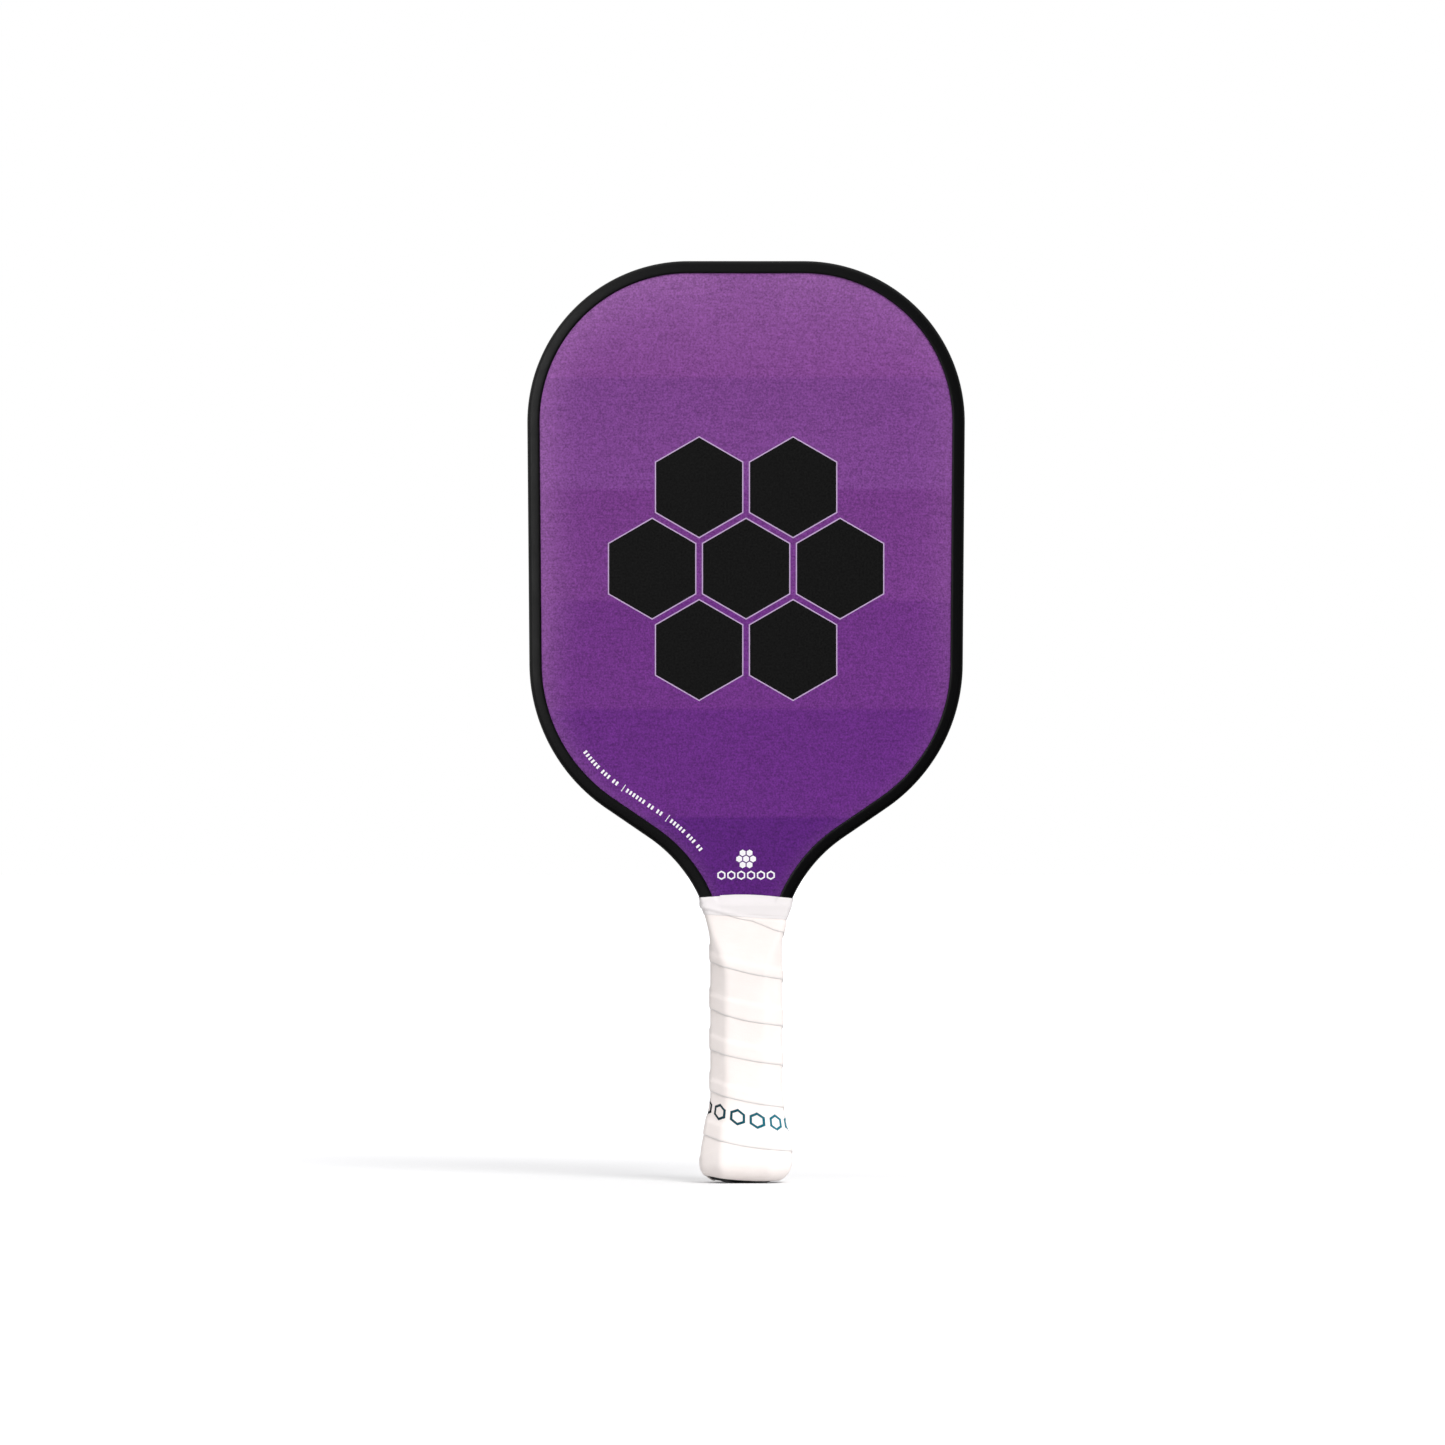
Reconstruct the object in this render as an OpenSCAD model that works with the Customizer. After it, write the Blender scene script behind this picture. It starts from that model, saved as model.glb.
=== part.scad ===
// Pickleball paddle: a honeycomb sandwich blade with a moulded edge guard, and an eight-sided
// handle of two pallets, an end cap, a cushioned base grip and a wound overgrip.
// Frame: origin at the middle of the butt, +Z up the handle to the head, X across the face,
// Y through the thickness with the front face towards -Y. Millimetres.

/* [Overall] */
// Length from the butt to the top of the edge guard
paddle_length = 406.4; // [400:0.1:412]
// Width across the edge guard
paddle_width = 193; // [190:0.5:197]

/* [Head outline] */
// Radius of the two top corners
corner_radius = 71; // [65:0.5:76]
// Radius of the two lower shoulders
shoulder_radius = 77.4; // [75:0.1:79]
// Half width of the head at the shoulders
shoulder_reach = 95.6; // [95:0.1:96.2]
// Height of the shoulder arcs' centres
shoulder_height = 229; // [227:0.5:232]
// Radius of the hollow on each side of the throat
throat_radius = 64.3; // [62:0.1:65]
// Height of the throat arcs' centres
throat_height = 99; // [98:0.5:100]
// Half width of the blade where the throat meets the handle
throat_reach = 14.8; // [14.7:0.1:15]

/* [Sandwich] */
// Thickness of the honeycomb core
core_thickness = 13; // [11:0.5:14]
// Thickness of each adhesive film between core and skin
adhesive_thickness = 0.1; // [0.1:0.05:0.2]
// Thickness of each glass-fibre skin
skin_thickness = 0.45; // [0.3:0.05:0.6]
// Thickness of each printed film
film_thickness = 0.15; // [0.1:0.05:0.2]
// Distance between the honeycomb cells' centres
cell_pitch = 9; // [8:1:14]
// Wall between two honeycomb cells
cell_wall = 0.6; // [0.4:0.1:1]
// Solid rim left around the honeycomb cells
core_rim = 1.2; // [1:0.1:3]

/* [Edge guard] */
// Width of the guard seen from the front
guard_lip = 5.6; // [4.5:0.1:6.5]
// Thickness of the guard's outer wall
guard_wall = 1.3; // [1.2:0.1:1.5]
// Thickness of each flange over the face
guard_flange = 1.15; // [0.9:0.05:1.2]
// Thickness at the tip of each flange
guard_tip = 0.35; // [0.2:0.05:0.5]
// Radius of the guard's two outer edges
guard_round = 2.6; // [1.5:0.1:3]
// Height of the guard's two ends, under the overgrip
guard_end = 114; // [113:0.5:116]
// Thickness of the tape that seals the blade's edge
seal_thickness = 0.2; // [0.1:0.05:0.25]

/* [Handle] */
// Width of the finished grip
handle_width = 32.6; // [32.4:0.1:34]
// Depth of the finished grip, front to back
handle_depth = 31; // [30.8:0.1:32]
// Width of each bevel of the finished grip, measured along X
handle_bevel = 7.4; // [6.6:0.1:7.4]
// Width of the flared butt
butt_width = 38; // [37:0.1:39]
// Depth of the flared butt
butt_depth = 36.2; // [35.5:0.1:37]
// Width of each bevel of the butt, measured along X
butt_bevel = 9.2; // [8:0.1:9.6]
// Rounding of the butt's lower edge
butt_round = 8; // [7:0.5:9]
// Height at which the butt flare reaches its full width
flare_bottom = 14; // [13:0.5:16]
// Height at which the butt flare starts
flare_top = 36; // [34:0.5:44]
// Height at which the handle starts to thin down towards the face
ramp_bottom = 94; // [90:0.5:96]
// Height at which the handle has thinned down to the blade
ramp_top = 119; // [118:0.5:121]

/* [Wraps] */
// Thickness of the overgrip as wound
overgrip_thickness = 1; // [0.9:0.05:1]
// Thickness of the wraps where they cover the guard's ends
neck_cover = 1.1; // [1.1:0.05:1.3]
// Thickness of the finishing tape
tape_thickness = 0.4; // [0.2:0.05:0.5]
// Height of the finishing tape's lower edge
tape_bottom = 117.5; // [116:0.5:119]
// Height of the finishing tape's upper edge
tape_top = 126; // [125:0.5:128]
// Height of the overgrip's lower edge
overgrip_bottom = 2; // [1.8:0.1:2.5]
// Thickness of the cushioned base grip
base_grip_thickness = 1.6; // [1.4:0.05:1.65]
// Height of the base grip's upper edge
base_grip_top = 108; // [106:0.5:109]
// Width of the tape band over the base grip's end
base_tape_width = 10; // [8:0.5:12]
// Thickness of the tape band over the base grip's end
base_tape_thickness = 0.2; // [0.1:0.05:0.3]

/* [Handle core] */
// Height of the top of the two pallets
pallet_top = 113; // [112.5:0.1:113.5]
// Thickness of the adhesive sheet under each pallet
pallet_tape_thickness = 0.15; // [0.1:0.05:0.2]

/* [End cap] */
// Thickness of the cap's floor
cap_floor = 3; // [2.5:0.1:4]
// Height of the ledge that the base grip butts against
cap_ledge = 12; // [11:0.5:13]
// Height of the cap's skirt over the pallets
cap_height = 32; // [28:0.5:33]
// Diameter of the blank round badge let into the cap
badge_diameter = 14; // [12:0.5:15]
// Thickness of the badge
badge_thickness = 0.8; // [0.5:0.1:1.2]
// Width of each staple that holds the cap
staple_width = 8; // [6:0.5:9]
// Thickness of the staple wire
staple_wire = 0.7; // [0.5:0.1:0.9]
// Length of each staple leg
staple_leg = 4.4; // [4:0.1:4.6]
// Height of the staples
staple_height = 22; // [20:0.5:24]

/* [Hidden] */

// Half thickness of the blade at each layer's outer face
core_y = core_thickness / 2;
adhesive_y = core_y + adhesive_thickness;
skin_y = adhesive_y + skin_thickness;
film_y = skin_y + film_thickness;
guard_y = film_y + guard_flange;

// Insets from the outer outline to the seal tape and to the blade
seal_inset = guard_wall;
blade_inset = guard_wall + seal_thickness;
cell_inset = blade_inset + core_rim;

// Insets from the finished grip to each layer under it
base_grip_inset = overgrip_thickness;
pallet_inset = base_grip_inset + base_grip_thickness;

// Centres of the outline's arcs, each [x, z]
corner_centre = [paddle_width / 2 - corner_radius, paddle_length - corner_radius];
shoulder_centre = [shoulder_reach - shoulder_radius, shoulder_height];
throat_centre = [throat_reach + throat_radius, throat_height];

// Direction of the outward normal along the straight side, which touches corner and shoulder
side_step = corner_centre - shoulder_centre;
side_angle = atan2(side_step.y, side_step.x)
    - acos((shoulder_radius - corner_radius) / norm(side_step));

// Direction of the outward normal along the straight that crosses from shoulder to throat
waist_step = throat_centre - shoulder_centre;
waist_angle = atan2(waist_step.y, waist_step.x)
    + acos((shoulder_radius + throat_radius) / norm(waist_step));

// Direction of the outward normal at the guard's end
guard_end_angle = -asin((guard_end - throat_height) / throat_radius);

// Rounding of curves
outline_step = 4.5;
guard_corner_steps = 4;
butt_step = 15;
neck_step = 3;

// Play that makes a cutter pass clear through
clear = 1;
// Size of a block that covers the whole handle
cover = 60;

// A bend of the outline as rows of [x, z, normal x, normal z]; a negative radius is a hollow
function bend(centre, radius, from, to) =
    let (count = ceil(abs(to - from) / outline_step))
    [for (i = [0:count])
        let (a = from + (to - from) * i / count)
        [centre.x + radius * cos(a), centre.y + radius * sin(a), cos(a), sin(a)]];

// The right half of the outline above the guard's end
function upper_half() = concat(
    bend(throat_centre, -throat_radius, guard_end_angle, waist_angle),
    bend(shoulder_centre, shoulder_radius, waist_angle, side_angle),
    bend(corner_centre, corner_radius, side_angle, 90)
);

// The right half of the outline below it, which runs straight down the handle
function lower_half() = concat(
    [[throat_reach, cap_floor, 1, 0]],
    bend(throat_centre, -throat_radius, 0, guard_end_angle)
);

// The left half, in the order that closes the outline
function mirrored(rows) = [
    for (i = [len(rows) - 1:-1:0])
        [-rows[i][0], rows[i][1], -rows[i][2], rows[i][3]]
];

function inset_points(rows, inset) = [
    for (r = rows) [r[0] - inset * r[2], r[1] - inset * r[3]]
];

function blade_rows() =
    let (right = concat(lower_half(), upper_half()))
    concat(right, mirrored(right));

// The blade's outline in the XZ plane, drawn at an inset from the guard's outer edge
module blade_outline(inset) {
    polygon(inset_points(blade_rows(), inset));
}

// Turns a flat drawing into a plate from y = from to y = to
module plate(from, to) {
    rotate([90, 0, 0])
        translate([0, 0, -to])
            linear_extrude(to - from)
                children();
}

module rear() {
    mirror([0, 1, 0])
        children();
}

// Half width of the finished neck at a height: the throat's hollow, moved out by the wraps
function neck_reach(z) = throat_centre.x
    - sqrt(pow(throat_radius - neck_cover, 2) - pow(z - throat_height, 2));

// Depth that the handle keeps over the blade at its top
neck_depth = guard_y + overgrip_thickness + tape_thickness;
// Bevel that is left at the handle's top, and how much faster than the depth it gets there
neck_bevel = 1.8;
bevel_haste = 1.6;
// Half width, half depth and bevel of the flat land under the butt
land_reach = 10;
land_depth = 9;
land_bevel = 4;
// Bevel that an eight-sided outline loses for each millimetre that it is taken in
offset_bevel = 2 - sqrt(2);

function mix(a, b, t) = a + (b - a) * min(1, max(0, t));

// One row of the finished grip: [height, half width, half depth, bevel]
function grip_row(z) =
    let (
        flare = (flare_top - z) / (flare_top - flare_bottom),
        ramp = (z - ramp_bottom) / (ramp_top - ramp_bottom),
        straight = mix(handle_width / 2, butt_width / 2, flare),
        depth = mix(handle_depth / 2, butt_depth / 2, flare),
        bevel = mix(handle_bevel, butt_bevel, flare)
    )
    [
        z,
        max(straight, neck_reach(max(z, throat_height))),
        mix(depth, neck_depth, ramp),
        mix(bevel, neck_bevel, bevel_haste * ramp)
    ];

// Rows of the rounded butt, from the land up
butt_rise = 1;
function butt_rows() = concat(
    [[0, land_reach, land_depth, land_bevel]],
    [for (a = [90:-butt_step:0])
        let (inward = butt_round * (1 - cos(a)), up = butt_round * (1 - sin(a)))
        [
            butt_rise + up,
            butt_width / 2 - inward,
            butt_depth / 2 - inward,
            butt_bevel - inward * offset_bevel
        ]]
);

form_top = 130;
function grip_rows() = concat(
    butt_rows(),
    [grip_row(flare_bottom), grip_row(flare_top), grip_row(ramp_bottom)],
    [for (z = [ramp_bottom + neck_step:neck_step:form_top]) grip_row(z)]
);

// A symmetric drawing from rows of [height, reach]
function symmetric(rows) = concat(
    [for (r = rows) [r[1], r[0]]],
    [for (i = [len(rows) - 1:-1:0]) [-rows[i][1], rows[i][0]]]
);

// One pair of opposite sides of the grip, as a block that is wide in the other direction
module sides(rows, turn) {
    rotate([0, 0, turn])
        plate(-cover, cover)
            polygon(symmetric(rows));
}

// The eight-sided grip, taken in by inset, between two heights
module grip_form(inset, from, to) {
    rows = grip_rows();
    diagonal = [for (r = rows) [r[0], (r[1] + r[2] - r[3]) / sqrt(2) - inset]];
    intersection() {
        sides([for (r = rows) [r[0], r[1] - inset]], 0);
        sides([for (r = rows) [r[0], r[2] - inset]], 90);
        sides(diagonal, 45);
        sides(diagonal, -45);
        translate([-cover / 2, -cover / 2, from])
            cube([cover, cover, to - from]);
    }
}

// The handle's straight eight-sided bar before any wrap
module handle_bar() {
    reach = handle_width / 2 - pallet_inset;
    depth = handle_depth / 2 - pallet_inset;
    cut = handle_bevel - pallet_inset * offset_bevel;
    translate([0, 0, cap_floor])
        linear_extrude(form_top)
            polygon([
                [reach, cut - depth], [reach, depth - cut], [reach - cut, depth],
                [cut - reach, depth], [-reach, depth - cut], [-reach, cut - depth],
                [cut - reach, -depth], [reach - cut, -depth]
            ]);
}

// Honeycomb cells that fill the blade, as flat hexagons with a corner up
module cells() {
    row_rise = cell_pitch * sqrt(3) / 2;
    rows_up = ceil(paddle_length / row_rise);
    columns = ceil(paddle_width / 2 / cell_pitch);
    cell_radius = (cell_pitch - cell_wall) / sqrt(3);
    for (row = [0:rows_up])
        for (column = [-columns:columns])
            let (
                x = (column + (row % 2) / 2) * cell_pitch,
                z = cap_floor + row * row_rise,
                reach = min(open_reach(z - cell_radius), open_reach(z + cell_radius))
            )
            if (abs(x) + cell_pitch / 2 < reach)
                translate([x, z])
                    rotate(30)
                        circle(r = cell_radius, $fn = 6);
}

// Half width that is open to cells at a height, zero above and below the blade
function open_reach(z) =
    let (
        points = inset_points(concat(lower_half(), upper_half()), cell_inset),
        below = [for (p = points) if (p.y <= z) p],
        above = [for (p = points) if (p.y > z) p]
    )
    len(below) == 0 || len(above) == 0 ? 0
    : let (a = below[len(below) - 1], b = above[0])
        a.x + (b.x - a.x) * (z - a.y) / (b.y - a.y);

module honeycomb_core() {
    color("gainsboro")
        plate(-core_y, core_y)
            difference() {
                blade_outline(blade_inset);
                cells();
            }
}

module adhesive_film() {
    color("khaki")
        plate(-adhesive_y, -core_y)
            blade_outline(blade_inset);
}

module skin() {
    color("palegoldenrod")
        plate(-skin_y, -adhesive_y)
            blade_outline(blade_inset);
}

module printed_film() {
    color([0.44, 0.22, 0.51])
        plate(-film_y, -skin_y)
            blade_outline(blade_inset);
}

module edge_seal_tape() {
    color("dimgray")
        plate(-film_y, film_y)
            difference() {
                polygon(inset_points(concat(upper_half(), mirrored(upper_half())), seal_inset));
                blade_outline(blade_inset);
            }
}

// Half of the guard's section as [inset from the outer edge, y], from the wall to the slot
function guard_half_section() = concat(
    [for (i = [0:guard_corner_steps])
        let (a = 90 * i / guard_corner_steps)
        [guard_round * (1 - cos(a)), guard_y - guard_round * (1 - sin(a))]],
    [[guard_lip - guard_flange, guard_y - guard_tip / 2]],
    [[guard_lip, film_y + guard_tip]],
    [[guard_lip, film_y]],
    [[guard_wall, film_y]]
);

function guard_section() =
    let (half = guard_half_section())
    concat(
        [for (p = half) [p.x, p.y]],
        [for (i = [len(half) - 1:-1:0]) [half[i].x, -half[i].y]]
    );

module edge_guard() {
    path = concat(upper_half(), mirrored(upper_half()));
    section = guard_section();
    around = len(section);
    last = (len(path) - 1) * around;
    points = [
        for (r = path)
            for (p = section)
                [r[0] - p.x * r[2], p.y, r[1] - p.x * r[3]]
    ];
    walls = [
        for (i = [0:len(path) - 2])
            for (j = [0:around - 1])
                let (k = (j + 1) % around, a = i * around, b = a + around)
                each [[a + j, a + k, b + k], [a + j, b + k, b + j]]
    ];
    ends = [
        [for (j = [around - 1:-1:0]) j],
        [for (j = [0:around - 1]) last + j]
    ];
    color([0.12, 0.12, 0.12])
        polyhedron(points, concat(walls, ends));
}

// One staple through the cap's skirt into a pallet, on the front
module staple() {
    top_y = -(grip_row(staple_height)[2] - pallet_inset - staple_wire / 8);
    translate([-staple_width / 2, top_y, staple_height - staple_wire / 2]) {
        cube([staple_width, staple_wire, staple_wire]);
        cube([staple_wire, staple_leg, staple_wire]);
        translate([staple_width - staple_wire, 0, 0])
            cube([staple_wire, staple_leg, staple_wire]);
    }
}

module end_cap_staples() {
    color("silver") {
        staple();
        rear() staple();
    }
}

// One of the two pallets that make up the handle's bar, on the front
module pallet() {
    color("burlywood")
        difference() {
            intersection() {
                handle_bar();
                grip_form(pallet_inset, cap_floor, pallet_top);
                translate([-cover / 2, -cover, 0])
                    cube([cover, cover - film_y - pallet_tape_thickness, form_top]);
            }
            staple();
        }
}

module pallet_tape() {
    reach = throat_reach - blade_inset;
    color("lemonchiffon")
        translate([-reach, -film_y - pallet_tape_thickness, cap_floor])
            cube([2 * reach, pallet_tape_thickness, pallet_top - cap_floor]);
}

module end_cap() {
    color([0.09, 0.09, 0.09])
        difference() {
            union() {
                grip_form(base_grip_inset, 0, cap_ledge);
                grip_form(pallet_inset, cap_ledge - clear, cap_height);
            }
            handle_bar();
            translate([0, 0, -clear])
                cylinder(d = badge_diameter, h = badge_thickness + clear, $fn = 64);
            staple();
            rear() staple();
        }
}

module end_cap_badge() {
    color("dimgray")
        cylinder(d = badge_diameter, h = badge_thickness, $fn = 64);
}

module base_grip() {
    tape_from = base_grip_top - base_tape_width + clear;
    color([0.22, 0.22, 0.23])
        difference() {
            union() {
                grip_form(base_grip_inset, cap_ledge, tape_from);
                grip_form(base_grip_inset + base_tape_thickness, tape_from - clear, base_grip_top);
            }
            grip_form(pallet_inset, cap_ledge - clear, base_grip_top + clear);
        }
}

module base_grip_tape() {
    tape_from = base_grip_top - base_tape_width + clear;
    color([0.3, 0.3, 0.32])
        difference() {
            grip_form(base_grip_inset, tape_from, tape_from + base_tape_width);
            grip_form(base_grip_inset + base_tape_thickness, tape_from - clear, form_top - clear);
        }
}

module overgrip() {
    under_tape = tape_top - 2 * clear;
    color([0.96, 0.95, 0.94])
        difference() {
            union() {
                grip_form(0, overgrip_bottom, tape_bottom);
                grip_form(tape_thickness, tape_bottom - clear, under_tape);
            }
            grip_form(base_grip_inset, 0, form_top - clear);
        }
}

module finishing_tape() {
    color([0.98, 0.97, 0.97])
        difference() {
            grip_form(0, tape_bottom, tape_top);
            grip_form(tape_thickness, tape_bottom - clear, form_top - clear);
        }
}

honeycomb_core();
adhesive_film();  // front_adhesive_film
rear() adhesive_film();  // rear_adhesive_film
skin();  // front_skin
rear() skin();  // rear_skin
printed_film();  // front_printed_film
rear() printed_film();  // rear_printed_film
edge_seal_tape();
edge_guard();
pallet();  // front_pallet
rear() pallet();  // rear_pallet
pallet_tape();  // front_pallet_tape
rear() pallet_tape();  // rear_pallet_tape
end_cap();
end_cap_badge();
end_cap_staples();
base_grip();
base_grip_tape();
overgrip();
finishing_tape();
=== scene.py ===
import math

import bmesh
import bpy
import numpy as np
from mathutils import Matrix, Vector


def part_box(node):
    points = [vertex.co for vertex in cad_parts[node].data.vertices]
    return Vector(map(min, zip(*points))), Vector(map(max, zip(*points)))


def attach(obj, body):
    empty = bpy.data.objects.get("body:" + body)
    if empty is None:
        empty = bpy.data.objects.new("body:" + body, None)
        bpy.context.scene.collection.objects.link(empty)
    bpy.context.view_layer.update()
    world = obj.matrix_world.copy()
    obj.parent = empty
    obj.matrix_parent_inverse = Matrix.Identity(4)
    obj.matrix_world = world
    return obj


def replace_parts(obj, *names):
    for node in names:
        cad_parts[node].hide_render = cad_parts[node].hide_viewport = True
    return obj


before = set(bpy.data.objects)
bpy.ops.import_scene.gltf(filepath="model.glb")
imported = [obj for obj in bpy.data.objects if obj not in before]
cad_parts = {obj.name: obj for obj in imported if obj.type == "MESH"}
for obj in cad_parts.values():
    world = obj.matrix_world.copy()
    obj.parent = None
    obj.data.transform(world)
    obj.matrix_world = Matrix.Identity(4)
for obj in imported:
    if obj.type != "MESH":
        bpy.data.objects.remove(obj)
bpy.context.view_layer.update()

# A pickleball paddle: a printed sandwich blade in a moulded edge guard, and a handle wound with a
# white overgrip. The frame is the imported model's: origin at the middle of the butt, +Z up, front
# face towards -Y. Sizes are in millimetres, and MM turns them into metres.

MM = 0.001
BODY = "root"

# ------------------------ driving sizes

guard_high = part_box("edge_guard")[1]
film_low, film_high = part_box("front_printed_film")
grip_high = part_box("overgrip")[1]
badge_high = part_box("end_cap_badge")[1]

PADDLE_LENGTH = guard_high.z / MM
PADDLE_WIDTH = 2 * guard_high.x / MM
GUARD_Y = guard_high.y / MM
FILM_Y = -film_low.y / MM
SKIN_Y = -film_high.y / MM
BUTT_REACH = grip_high.x / MM
BUTT_DEPTH = grip_high.y / MM
BADGE_RADIUS = badge_high.x / MM
BADGE_THICKNESS = badge_high.z / MM

# Outline of the guard's outer edge: arcs at the corners, shoulders and throat
CORNER_RADIUS = 71
SHOULDER_RADIUS = 77.4
SHOULDER_REACH = 95.6
SHOULDER_HEIGHT = 229
THROAT_RADIUS = 64.3
THROAT_HEIGHT = 99
THROAT_REACH = 14.8
GUARD_END = 114
BLADE_INSET = 1.5
BLADE_BOTTOM = 3

# Edge guard's section
GUARD_LIP = 5.6
GUARD_WALL = 1.3
GUARD_ROUND = 2.6

# Grip under its overgrip, which is WRAP thick
WRAP = 1.0
HANDLE_REACH = 16.3
HANDLE_DEPTH = 15.5
HANDLE_BEVEL = 7.4
BUTT_BEVEL = 9.2
BUTT_ROUND = 8
BUTT_RISE = 1
FLARE_BOTTOM = 14
FLARE_TOP = 36
RAMP_BOTTOM = 94
RAMP_TOP = 119
NECK_COVER = 1.1
NECK_DEPTH = 9.75
NECK_BEVEL = 1.8
BEVEL_HASTE = 1.6
OFFSET_BEVEL = 2 - math.sqrt(2)

# End cap
LAND_REACH = 9
LAND_DEPTH = 8
LAND_BEVEL = 3.4
CAP_LEDGE = 12
CAP_HEIGHT = 32
CAP_FLOOR = 3
PALLET_INSET = 2.6
BADGE_GAP = 0.05
RECESS_CHAMFER = 0.25
LEDGE_CHAMFER = 0.3
SKIRT_CHAMFER = 0.15
SKIRT_HEIGHTS = (CAP_LEDGE, CAP_LEDGE + 1.5, 20, 26, CAP_HEIGHT - SKIRT_CHAMFER)
SOCKET_LEAD = 0.2


# ------------------------ mesh tools

def piece(name, points, faces, material, sharp=35):
    """A piece made from points in millimetres, which rides on the paddle's one body."""
    mesh = bpy.data.meshes.new(name)
    mesh.from_pydata([tuple(float(c) * MM for c in p) for p in points], [], faces)
    outward = bmesh.new()
    outward.from_mesh(mesh)
    bmesh.ops.recalc_face_normals(outward, faces=outward.faces)
    outward.to_mesh(mesh)
    outward.free()
    mesh.shade_smooth()
    mesh.set_sharp_from_angle(angle=math.radians(sharp))
    mesh.materials.append(material)
    obj = bpy.data.objects.new(name, mesh)
    bpy.context.scene.collection.objects.link(obj)
    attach(obj, BODY)
    return obj


def note(obj, name, values):
    """Stores one number at each point of a piece for its material to read."""
    attribute = obj.data.attributes.new(name, "FLOAT", "POINT")
    attribute.data.foreach_set("value", np.asarray(values, np.float32).ravel())


def rings(count, around, start=0):
    """Faces between successive rings that all have the same number of points."""
    faces = []
    for i in range(count - 1):
        a = start + i * around
        b = a + around
        for j in range(around):
            k = (j + 1) % around
            faces.append((a + j, a + k, b + k, b + j))
    return faces


def ring_ends(count, around, start=0):
    """The two faces that close a stack of rings."""
    last = start + (count - 1) * around
    return [tuple(range(start, start + around)), tuple(range(last, last + around))]


def hoop(around, start=0):
    """Faces of a closed band: four rings in a row, the last joined to the first."""
    faces = rings(4, around, start)
    last = start + 3 * around
    for j in range(around):
        k = (j + 1) % around
        faces.append((last + j, last + k, start + k, start + j))
    return faces


def prisms(outlines, near_y, far_y):
    """Points and faces of flat plates that stand between two depths, one for each outline."""
    points = []
    faces = []
    for outline in outlines:
        start = len(points)
        points += [(x, near_y, z) for x, z in outline]
        points += [(x, far_y, z) for x, z in outline]
        faces += rings(2, len(outline), start) + ring_ends(2, len(outline), start)
    return points, faces


def frames(outlines, near_y, far_y):
    """Points and faces of flat closed bands between pairs of outlines with as many points each."""
    points = []
    faces = []
    for outer, inner in outlines:
        faces += hoop(len(outer), len(points))
        for outline, y in ((outer, near_y), (inner, near_y), (inner, far_y), (outer, far_y)):
            points += [(x, y, z) for x, z in outline]
    return points, faces


# ------------------------ outline

def turn_in(start, end, reach):
    """Direction between two arcs' centres, and the angle from it to their shared straight's normal."""
    step = (end[0] - start[0], end[1] - start[1])
    return math.atan2(step[1], step[0]), math.acos(reach / math.hypot(*step))


CORNER = (PADDLE_WIDTH / 2 - CORNER_RADIUS, PADDLE_LENGTH - CORNER_RADIUS)
SHOULDER = (SHOULDER_REACH - SHOULDER_RADIUS, SHOULDER_HEIGHT)
THROAT = (THROAT_REACH + THROAT_RADIUS, THROAT_HEIGHT)
side_line, side_turn = turn_in(SHOULDER, CORNER, SHOULDER_RADIUS - CORNER_RADIUS)
waist_line, waist_turn = turn_in(SHOULDER, THROAT, SHOULDER_RADIUS + THROAT_RADIUS)
SIDE_ANGLE = side_line - side_turn
WAIST_ANGLE = waist_line + waist_turn
GUARD_END_ANGLE = -math.asin((GUARD_END - THROAT_HEIGHT) / THROAT_RADIUS)
OUTLINE_STEP = math.radians(1.5)
LONGEST_STRAIGHT = 6
SAME_PLACE = 0.001


def bend(centre, radius, start, end):
    """Rows of [x, z, normal x, normal z] round an arc; a negative radius is a hollow."""
    count = math.ceil(abs(end - start) / OUTLINE_STEP)
    rows = []
    for i in range(count + 1):
        a = start + (end - start) * i / count
        nx, nz = math.cos(a), math.sin(a)
        rows.append((centre[0] + radius * nx, centre[1] + radius * nz, nx, nz))
    return rows


def upper_half():
    """The right half of the outline above the guard's end."""
    return (
        bend(THROAT, -THROAT_RADIUS, GUARD_END_ANGLE, WAIST_ANGLE)
        + bend(SHOULDER, SHOULDER_RADIUS, WAIST_ANGLE, SIDE_ANGLE)
        + bend(CORNER, CORNER_RADIUS, SIDE_ANGLE, math.pi / 2)
    )


def lower_half():
    """The right half of the outline below it, down to the tongue's end in the handle."""
    return [(THROAT_REACH, BLADE_BOTTOM, 1, 0)] + bend(THROAT, -THROAT_RADIUS, 0, GUARD_END_ANGLE)


def mirrored(rows):
    """The same rows on the left, in the other order, so that they carry on from the right ones."""
    return [(-x, z, -nx, nz) for x, z, nx, nz in reversed(rows)]


def filled(rows):
    """The same rows with more of them along the straights, and none twice where two arcs meet."""
    result = [rows[0]]
    for a, b in zip(rows, rows[1:]):
        gap = math.dist(a[:2], b[:2])
        if gap < SAME_PLACE:
            continue
        count = math.ceil(gap / LONGEST_STRAIGHT)
        for i in range(1, count + 1):
            result.append(tuple(p + (q - p) * i / count for p, q in zip(a, b)))
    return result


def inset(row, distance):
    """A row's [x, z], moved into the blade."""
    return row[0] - distance * row[2], row[1] - distance * row[3]


# ------------------------ grip

AROUND = 360
RISE_STEP = 0.5
RISE_LOW = -3.5
RISE_HIGH = 131
RISES = np.arange(RISE_LOW, RISE_HIGH, RISE_STEP)
SOFTENING = 3


def mix(a, b, t):
    """From a to b as t goes from 0 to 1, and held there beyond."""
    return a + (b - a) * np.clip(t, 0, 1)


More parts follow.
